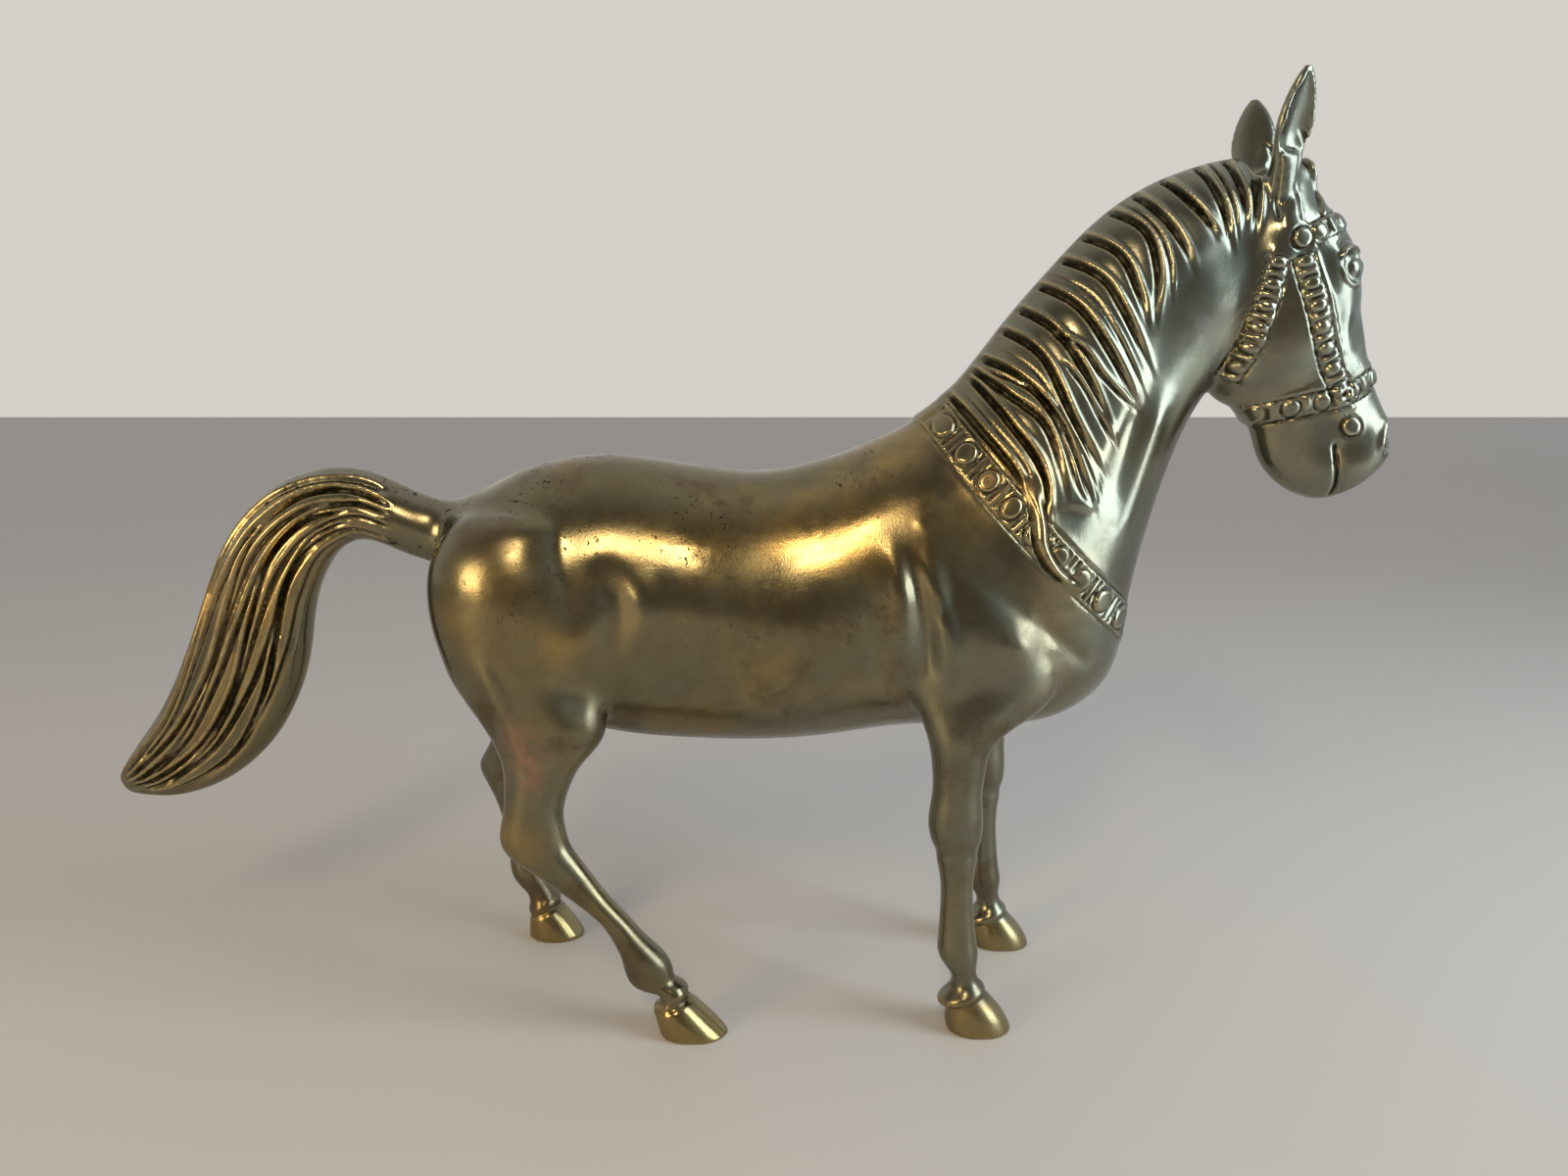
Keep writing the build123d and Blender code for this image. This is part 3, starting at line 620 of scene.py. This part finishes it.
def block(low, high):
    """A cutter between two corners."""
    mesh = bpy.data.meshes.new("cutter")
    work = bmesh.new()
    bmesh.ops.create_cube(work, size=1.0)
    middle = (np.array(low) + high) / 2
    size = np.array(high) - low
    for vertex in work.verts:
        vertex.co = Vector(middle + np.array(vertex.co) * size)
    work.to_mesh(mesh)
    work.free()
    return mesh


def between(axis, low, high):
    """A cutter as wide as everything, between two values of one axis."""
    corners = [[-FAR] * 3, [FAR] * 3]
    corners[0][axis], corners[1][axis] = low, high
    return block(*corners)


def drum(back):
    """A cutter for everything ahead of a line that lies this far behind the neck joint."""
    mesh = bpy.data.meshes.new("cutter")
    work = bmesh.new()
    (x, z), radius = neck_joint_arc()
    reach = radius * MM + back
    bmesh.ops.create_cone(work, cap_ends=True, segments=720, radius1=reach, radius2=reach, depth=FAR)
    for vertex in work.verts:
        vertex.co = (vertex.co.x + GIRTH_X + x * MM, -vertex.co.z, vertex.co.y + z * MM)
    work.to_mesh(mesh)
    work.free()
    return mesh


def carve(mesh, cutter, operation):
    """The mesh after one boolean with the cutter."""
    thing, tool = new_object("work", mesh), new_object("tool", cutter)
    shape = with_modifier(thing, "BOOLEAN", operation=operation, solver="MANIFOLD", object=tool)
    bpy.data.objects.remove(thing)
    bpy.data.objects.remove(tool)
    return shape


def halves(mesh):
    """Right and left castings and the brazed seam between them."""
    return (carve(mesh, between(1, -FAR, -BRAZE / 2), "INTERSECT"),
            carve(mesh, between(1, BRAZE / 2, FAR), "INTERSECT"),
            carve(mesh, between(1, -BRAZE / 2, BRAZE / 2), "INTERSECT"))


def leg_cutter(leg, low_z, high_z):
    """A cutter round one leg, between two heights."""
    low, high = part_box(leg + "_leg")
    inner = min(abs(low.y), abs(high.y)) - LEG_INSIDE
    outer = max(abs(low.y), abs(high.y)) + LEG_AROUND
    sides = (-outer, -inner) if low.y < 0 else (inner, outer)
    return block((low.x - LEG_AROUND, sides[0], low_z), (high.x + LEG_AROUND, sides[1], high_z))


def cut_pieces(skin):
    """The skin cut along the brazed joints, by the node that each piece stands for."""
    pieces = {}
    joint_low, joint_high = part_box("tail_joint_braze")
    pieces["tail"] = carve(skin, between(0, -FAR, joint_low.x), "INTERSECT")
    pieces["tail_joint_braze"] = carve(skin, between(0, joint_low.x, joint_high.x), "INTERSECT")
    body = carve(skin, between(0, joint_high.x, FAR), "INTERSECT")
    neck = carve(body, drum(0), "INTERSECT")
    torso = carve(body, drum(0), "DIFFERENCE")
    pieces["neck_joint_braze"] = carve(torso, drum(BRAZE), "INTERSECT")
    torso = carve(torso, drum(BRAZE), "DIFFERENCE")
    right, left, pieces["neck_seam_braze"] = halves(neck)
    pieces["neck_right_shell"], pieces["neck_left_shell"] = right, left
    right, left, pieces["torso_seam_braze"] = halves(torso)
    for side, half in (("right", right), ("left", left)):
        for end in ("hind", "fore"):
            leg = end + "_" + side
            seam_low, seam_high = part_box(leg + "_braze")
            pieces[leg + "_leg"] = carve(half, leg_cutter(leg, -FAR, seam_low.z), "INTERSECT")
            pieces[leg + "_braze"] = carve(half, leg_cutter(leg, seam_low.z, seam_high.z), "INTERSECT")
            half = carve(half, leg_cutter(leg, -FAR, seam_high.z), "DIFFERENCE")
        pieces["torso_" + side + "_shell"] = half
    return pieces


def finished_piece(node, mesh, material):
    """A cut piece of the carved skin that stands for one CAD node."""
    mesh.materials.clear()
    mesh.materials.append(material)
    mesh.shade_smooth()
    mesh.set_sharp_from_angle(angle=math.radians(SHARP_ANGLE))
    piece = new_object(node.replace("shell", "casting").replace("braze", "brazing") + "_skin", mesh)
    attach(piece, "root")
    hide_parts(node)


# ------------------------------------------------------------------ materials
OLIVE = (0.185, 0.165, 0.10, 1)
GOLD = (0.38, 0.265, 0.095, 1)
BROWN = (0.11, 0.075, 0.045, 1)
GREY_GREEN = (0.19, 0.195, 0.15, 1)
HEAD_TONE = (0.215, 0.235, 0.20, 1)
# near black for the back specks, and for the painted shade in hollows
SPECK_AND_SHADE_DARK = (0.022, 0.019, 0.014, 1)
# painted highlight colours for raised edges: golden on the body, paler towards the head
PAINTED_HIGHLIGHT = (0.55, 0.42, 0.20, 1)
HEAD_PAINTED_HIGHLIGHT = (0.47, 0.44, 0.31, 1)
# pinkish colour of a painted reflection on the gaskin
PINK_REFLECTION = (0.42, 0.22, 0.15, 1)
CAST_TINT = (0.25, 0.205, 0.12, 1)
BRAZE_TINT = (0.34, 0.27, 0.14, 1)

# Where a change of colour sets in and where it is complete, in m along the horse or up.
HEADWARD = (0.07, 0.15)
BACK_UP = (0.115, 0.165)
BACK_REARWARD = (0.075, 0.035)
HOOF_DOWN = (0.013, 0.009)
# The same for the painted shade in hollows and the painted highlight on raised edges, in the depths that
# Surface.finish keeps.
HOLLOW_SHADE_DEPTHS = (0.02, 0.085)
EDGE_HIGHLIGHT_DEPTHS = (-0.015, -0.09)
# Side-view centre and radii in m: a painted pinkish reflection on the gaskin, casting pits on the foreleg.
PINK_REFLECTION_SPOT = ((-0.0665, 0.096), (0.011, 0.017))
PITTED_SPOT = ((0.0715, 0.05), (0.011, 0.032))


class Nodes:
    """Short hand for building a node tree."""

    def __init__(self, tree):
        self.tree = tree
        self.where = None  # the place that noise is taken at

    def add(self, kind, inputs=(), **settings):
        node = self.tree.nodes.new(kind)
        for name, value in settings.items():
            setattr(node, name, value)
        for name, value in dict(inputs).items():
            if isinstance(value, bpy.types.NodeSocket):
                self.tree.links.new(value, node.inputs[name])
            else:
                node.inputs[name].default_value = value
        return node

    def noise(self, scale, detail=4.0, roughness=0.55, distortion=0.0, shift=(0, 0, 0)):
        where = self.add("ShaderNodeMapping", {"Vector": self.where, "Location": shift}).outputs[0]
        made = self.add("ShaderNodeTexNoise", {"Vector": where, "Scale": scale, "Detail": detail,
                                               "Roughness": roughness, "Distortion": distortion})
        return made.outputs[0]

    def ramp(self, value, low, high, start=0.0, end=1.0):
        """A smooth change from start to end while the value goes from low to high."""
        limits = {"Value": value, "From Min": low, "From Max": high, "To Min": start, "To Max": end}
        made = self.add("ShaderNodeMapRange", limits, interpolation_type="SMOOTHSTEP")
        return made.outputs[0]

    def maths(self, operation, a, b=0.0):
        made = self.add("ShaderNodeMath", {0: a, 1: b}, operation=operation)
        return made.outputs[0]

    def times(self, first, *others):
        for other in others:
            first = self.maths("MULTIPLY", first, other)
        return first

    def near(self, split, centre, radii):
        """Distance from a side-view place, as a share of the radii."""
        reach = [self.maths("DIVIDE", self.maths("SUBTRACT", split.outputs[axis], middle), radius)
                 for axis, middle, radius in zip((0, 2), centre, radii)]
        return self.maths("SQRT", self.maths("ADD", *[self.maths("MULTIPLY", one, one) for one in reach]))

    def mix(self, share, a, b):
        made = self.add("ShaderNodeMix", {0: share, 6: a, 7: b}, data_type="RGBA", blend_type="MIX")
        return made.outputs[2]


def patina(build, tint, headward):
    """Colour of the untouched metal, cooler towards the head, and where its brown blotches are."""
    golden = build.ramp(build.noise(17, 3, shift=(0.3, 0.1, 0.2)), 0.47, 0.66)
    colour = build.mix(golden, OLIVE, GOLD)
    cool = build.ramp(build.noise(9, 2, shift=(1.3, 0.7, 0.1)), 0.42, 0.6, end=0.8)
    colour = build.mix(cool, colour, GREY_GREEN)
    blotch = build.ramp(build.noise(38, 7, 0.62, 0.4), 0.50, 0.68, end=0.85)
    colour = build.mix(blotch, colour, BROWN)
    streaks = build.ramp(build.noise(160, 5, 0.7, 0.2), 0.35, 0.75, end=0.35)
    colour = build.mix(streaks, colour, BROWN)
    colour = build.mix(0.2, colour, tint)
    return build.mix(build.times(headward, 0.6), colour, HEAD_TONE), blotch


def back_specks(build, split, specks):
    """Small dark specks, in patches of the back and rump."""
    upper = build.ramp(split.outputs["Z"], *BACK_UP)
    rear = build.ramp(split.outputs["X"], *BACK_REARWARD)
    patches = build.ramp(build.noise(24, 2, shift=(0.9, 0.2, 0.6)), 0.45, 0.62)
    speck = build.ramp(build.noise(520, 2.5, 0.6), 0.60, 0.66)
    return build.times(speck, upper, rear, patches, specks)


# A painted pinkish reflection on the gaskin, broken up by noise.
def painted_pink_reflection(build, split):
    spot = build.ramp(build.near(split, *PINK_REFLECTION_SPOT), 1.0, 0.2, end=0.8)
    return build.times(spot, build.ramp(build.noise(70, 4), 0.35, 0.6))


def grain(build, split):
    """Fine unevenness of the cast skin, with pits on one foreleg, as a normal."""
    skin = build.maths("ADD", build.times(build.noise(260, 3), 0.7), build.noise(1400, 2))
    pitted = build.ramp(build.near(split, *PITTED_SPOT), 1.0, 0.5)
    pits = build.times(build.ramp(build.noise(900, 3, 0.6), 0.56, 0.62, end=-6.0), pitted)
    height = build.maths("ADD", skin, pits)
    return build.add("ShaderNodeBump", {"Height": height, "Strength": 0.06, "Distance": 0.0004}).outputs[0]


def aged_brass(name, tint, specks):
    """Old polished brass: patina in patches, painted shade darkening the hollows, painted highlight
    brightening the raised edges.
    """
    material = bpy.data.materials.new(name)
    material.use_nodes = True
    tree = material.node_tree
    shader = tree.nodes["Principled BSDF"]
    build = Nodes(tree)
    build.where = build.add("ShaderNodeTexCoord").outputs["Object"]
    split = build.add("ShaderNodeSeparateXYZ", {0: build.where})
    hollow = build.add("ShaderNodeAttribute", attribute_name="hollow").outputs["Fac"]
    headward = build.ramp(split.outputs["X"], *HEADWARD)

    colour, blotch = patina(build, tint, headward)
    speck = back_specks(build, split, specks)
    colour = build.mix(speck, colour, SPECK_AND_SHADE_DARK)
    colour = build.mix(build.ramp(split.outputs["Z"], *HOOF_DOWN, end=0.55), colour, GOLD)
    # painted reflection: a pinkish patch on the gaskin
    colour = build.mix(painted_pink_reflection(build, split), colour, PINK_REFLECTION)
    # painted shade: the deeper a hollow or crease, the darker it is painted
    hollow_shade = build.ramp(hollow, *HOLLOW_SHADE_DEPTHS)
    # painted highlight: the prouder an edge, the brighter it is painted
    edge_highlight = build.ramp(hollow, *EDGE_HIGHLIGHT_DEPTHS, end=0.65)
    uneven = build.ramp(build.noise(300, 4), 0.3, 0.6, 0.55, 1.0)
    # the painted shade laid into hollows and creases, unevenly, in near black
    colour = build.mix(build.times(hollow_shade, uneven), colour, SPECK_AND_SHADE_DARK)
    # the painted highlight laid on the raised edges, unevenly, paler towards the head
    colour = build.mix(build.times(edge_highlight, uneven), colour, build.mix(headward, PAINTED_HIGHLIGHT, HEAD_PAINTED_HIGHLIGHT))
    tree.links.new(colour, shader.inputs["Base Color"])
    shader.inputs["Metallic"].default_value = 1.0

    rough = build.ramp(build.noise(55, 5, 0.6, shift=(0.2, 0.5, 0.4)), 0.3, 0.7, 0.15, 0.27)
    rough = build.maths("ADD", rough, build.times(blotch, 0.12))
    # roughness also rises where the painted shade and the back specks lie
    rough = build.maths("ADD", rough, build.times(build.maths("ADD", hollow_shade, speck), 0.3))
    tree.links.new(rough, shader.inputs["Roughness"])
    tree.links.new(grain(build, split), shader.inputs["Normal"])
    return material


# ------------------------------------------------------------------ the stage
FLOOR_SIZE = 30
FLOOR_COLOUR = (0.60, 0.57, 0.53, 1)
SURROUNDINGS = (0.66, 0.63, 0.59, 1)
MIRRORED_FRONT = (0.20, 0.18, 0.155, 1)
MIRRORED_WINDOW_SIDE = (0.50, 0.62, 0.70, 1)
SKY_LIGHT = (0.9, 0.9, 0.92, 1)
SKY_STRENGTH = 0.42
CAMERA_AT = (GIRTH_X, -0.3789, 0.2054)
CAMERA_TILT = 80.66             # degrees
LENS = 26                       # mm
SENSOR = 36                     # mm


def floor():
    bpy.ops.mesh.primitive_plane_add(size=FLOOR_SIZE)
    plane = bpy.context.object
    plane.name = "floor"
    material = bpy.data.materials.new("pale_floor")
    material.use_nodes = True
    shader = material.node_tree.nodes["Principled BSDF"]
    shader.inputs["Base Color"].default_value = FLOOR_COLOUR
    shader.inputs["Roughness"].default_value = 0.6
    plane.data.materials.append(material)


def world():
    """Even pale surroundings. The metal mirrors them dimmer at the front and bluer by the window."""
    studio = bpy.data.worlds.new("studio")
    bpy.context.scene.world = studio
    studio.use_nodes = True
    studio.node_tree.nodes.clear()
    build = Nodes(studio.node_tree)
    path = build.add("ShaderNodeLightPath").outputs
    where = build.add("ShaderNodeSeparateXYZ", {0: build.add("ShaderNodeTexCoord").outputs["Generated"]})
    front = build.ramp(where.outputs["Y"], 0.1, -0.6)
    mirrored = build.mix(front, SURROUNDINGS, MIRRORED_FRONT)
    window_side = build.ramp(where.outputs["X"], 0.25, 0.8, end=0.75)
    mirrored = build.mix(window_side, mirrored, MIRRORED_WINDOW_SIDE)
    seen = build.mix(path["Is Glossy Ray"], SURROUNDINGS, mirrored)
    backdrop = build.add("ShaderNodeBackground", {"Color": seen, "Strength": 1.0})
    light = build.add("ShaderNodeBackground", {"Color": SKY_LIGHT, "Strength": SKY_STRENGTH})
    shown = build.maths("MAXIMUM", path["Is Camera Ray"], path["Is Glossy Ray"])
    shown = build.maths("MAXIMUM", shown, path["Is Transmission Ray"])
    mixed = build.add("ShaderNodeMixShader", {0: shown, 1: light.outputs[0], 2: backdrop.outputs[0]})
    build.add("ShaderNodeOutputWorld", {0: mixed.outputs[0]})


def softbox(name, spot, aim, size, power, colour):
    """A rectangular lamp that shines from a spot towards an aim."""
    data = bpy.data.lights.new(name, "AREA")
    data.shape = "RECTANGLE"
    data.size, data.size_y = size
    data.energy = power
    data.color = colour
    lamp = bpy.data.objects.new(name, data)
    bpy.context.scene.collection.objects.link(lamp)
    lamp.location = spot
    direction = Vector(aim) - Vector(spot)
    lamp.rotation_mode = "QUATERNION"
    lamp.rotation_quaternion = direction.to_track_quat("-Z", "Y")


def camera():
    data = bpy.data.cameras.new("camera")
    data.lens = LENS
    data.sensor_width = SENSOR
    data.clip_start = 0.01
    made = bpy.data.objects.new("camera", data)
    bpy.context.scene.collection.objects.link(made)
    made.location = CAMERA_AT
    made.rotation_euler = (math.radians(CAMERA_TILT), 0, 0)
    bpy.context.scene.camera = made


# ------------------------------------------------------------------ making
camera()
floor()
world()
softbox("window", spot=(0.9, -0.35, 0.5), aim=(0, 0, 0.15), size=(0.5, 0.9),
        power=8, colour=(0.74, 0.88, 1.0))
softbox("lamp", spot=(-0.12, -0.95, 0.8), aim=(0, 0, 0.15), size=(0.14, 0.30),
        power=3.2, colour=(1.0, 0.78, 0.46))
softbox("side_lamp", spot=(-0.85, -0.8, 0.34), aim=(-0.08, 0, 0.15), size=(0.42, 0.36),
        power=4.5, colour=(1.0, 0.76, 0.42))

clay = make_clay(NODES)
place(clay, smoothed(points_of(clay), edges_of(clay), CLAY_ROUNDS))
fill_creases(clay, rounds=60, reach=3.5 * MM, least=0.04 * MM, evening=6)
for line, reach, rounds in SOFTENED:
    soften(clay, line, reach, rounds)
refine(clay)
surface = Surface(clay)
for carving in (muscles, collar, mane, bridle, face, tail, legs):
    carving(surface)
surface.finish()

cast = aged_brass("aged_brass", CAST_TINT, specks=1.0)
brazed = aged_brass("brazed_joint", BRAZE_TINT, specks=0.3)
for node, shape in cut_pieces(clay).items():
    finished_piece(node, shape, brazed if "braze" in node else cast)

bpy.context.scene.view_settings.view_transform = "Standard"
